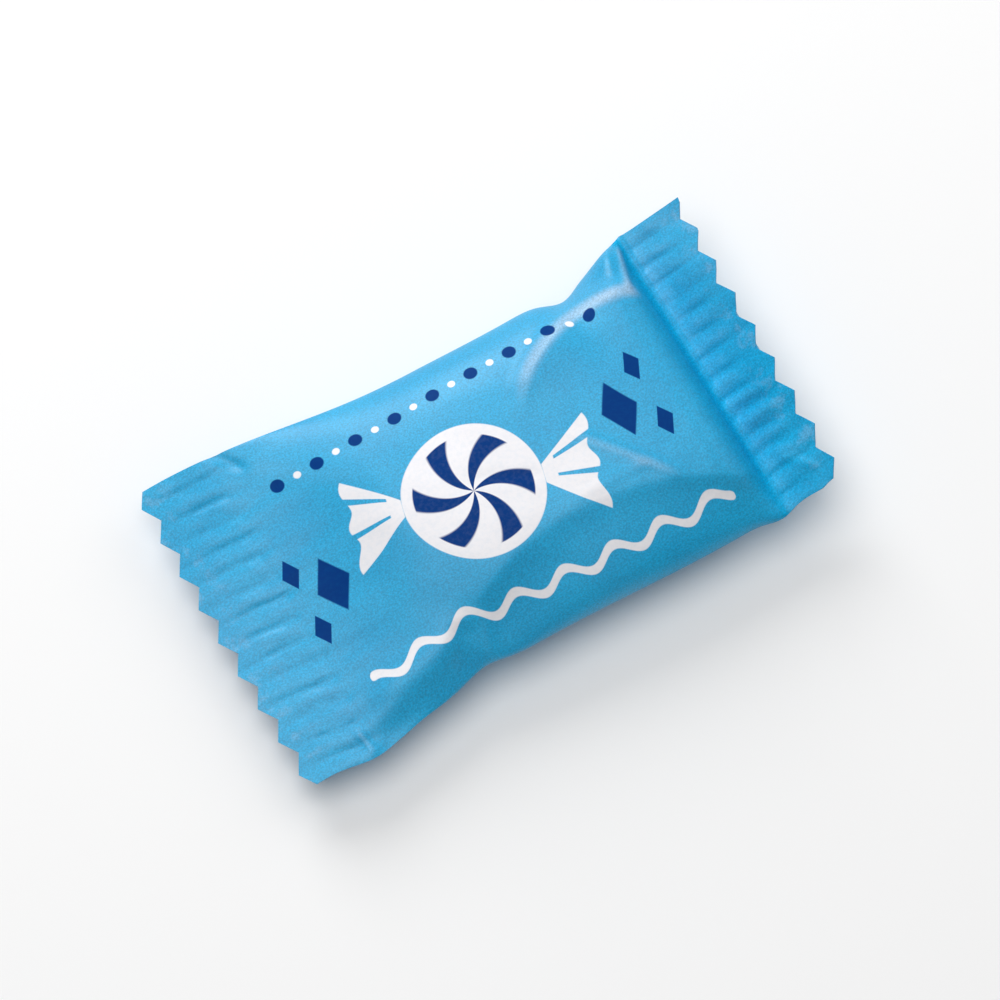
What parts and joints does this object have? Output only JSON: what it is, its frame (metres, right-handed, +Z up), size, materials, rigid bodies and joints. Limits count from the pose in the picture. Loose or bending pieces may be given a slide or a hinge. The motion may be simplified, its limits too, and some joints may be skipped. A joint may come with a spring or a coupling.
{
  "type": "wrapped sweet",
  "caption": "Flow-wrapped caramel sweet: a small shut pillow pack of printed satin film with ribbed, zigzag-cut end fins and a folded back seal.",
  "frame": {"origin": "bottom centre of the bounding box, under the middle of the pack", "axes": "+X along the pack towards the end the sweet has slid to, +Y across it, +Z up out of the printed face, the back seal underneath"},
  "size_m": [0.0538, 0.0304, 0.0102],
  "materials": {
    "film": "satin sky-blue printed film"
  },
  "bodies": {
    "root": {"wrapper": "film"}
  },
  "joints": []
}
